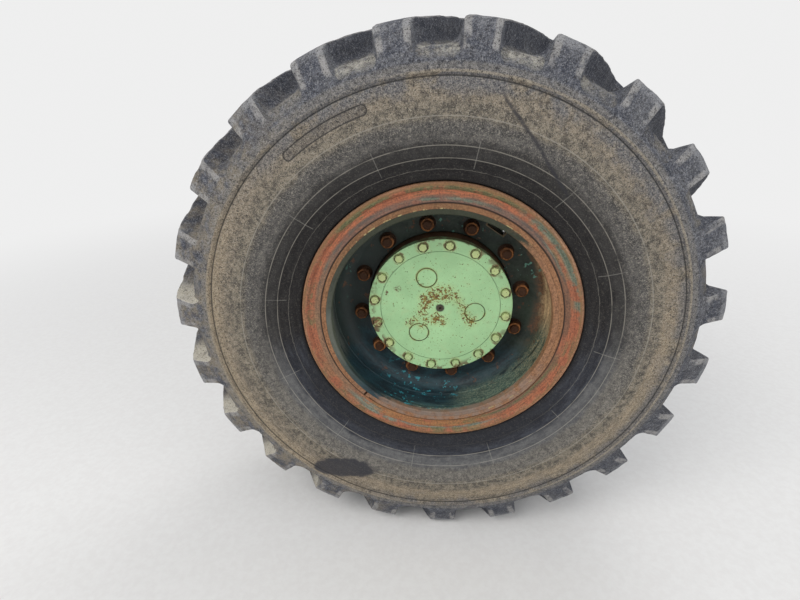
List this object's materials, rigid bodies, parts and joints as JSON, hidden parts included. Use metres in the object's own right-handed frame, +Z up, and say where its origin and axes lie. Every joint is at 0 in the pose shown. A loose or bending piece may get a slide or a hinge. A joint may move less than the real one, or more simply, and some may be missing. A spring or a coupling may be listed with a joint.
{
  "type": "loader wheel with planetary hub and axle arm",
  "caption": "Wide lugged loader tyre on a three-piece rim with a bolted disc, planetary hub and covered end, turning on a flanged axle arm.",
  "frame": {"origin": "centre of the axle arm's bolting face, on the axle line", "axes": "+Y along the axle line towards the machine, so the wheel's outer face looks to -Y; +Z up"},
  "size_m": [1.32, 0.748, 1.32],
  "materials": {
    "tyre_rubber": "worn, dusty",
    "rim_paint": "old dark green paint, chipped",
    "ring_paint": "worn red primer with green left on it",
    "ring_rust": "rusted through thin paint",
    "cover_paint": "pale green paint with rust specks",
    "rusty_steel": "rust",
    "valve_brass": "dull, dusty",
    "cap_plastic": "matte",
    "bare_steel": "machined, oily",
    "axle_iron": "painted casting, dusty",
    "seal_rubber": "oily"
  },
  "bodies": {
    "axle_end": {"axle_arm": "axle_iron", "brake_housing": "axle_iron", "spindle": "bare_steel", "arm_bolts": "rusty_steel", "oil_seal": "seal_rubber"},
    "wheel": {"tyre": "tyre_rubber", "rim_base": "rim_paint", "side_ring": "ring_paint", "lock_ring": "ring_rust", "wheel_disc": "rim_paint", "wheel_studs": "rusty_steel", "wheel_nuts": "rusty_steel", "hub_drum": "rim_paint", "hub_cover": "cover_paint", "cover_bolts": "cover_paint", "planet_plugs": "cover_paint", "level_plug": "rusty_steel", "valve_stem": "valve_brass", "valve_cap": "cap_plastic"},
    "half_shaft": {"half_shaft": "bare_steel"}
  },
  "joints": [
    {"name": "wheel_spin", "type": "hinge", "parent": "axle_end", "child": "wheel", "pos_m": [0, -0.45, 0], "axis": [0, 1, 0], "continuous": true},
    {"name": "half_shaft_spin", "type": "hinge", "parent": "axle_end", "child": "half_shaft", "pos_m": [0, 0, 0], "axis": [0, 1, 0], "continuous": true}
  ],
  "couplings": [
    {"joint": "half_shaft_spin", "follows": "wheel_spin", "ratio": 4}
  ]
}
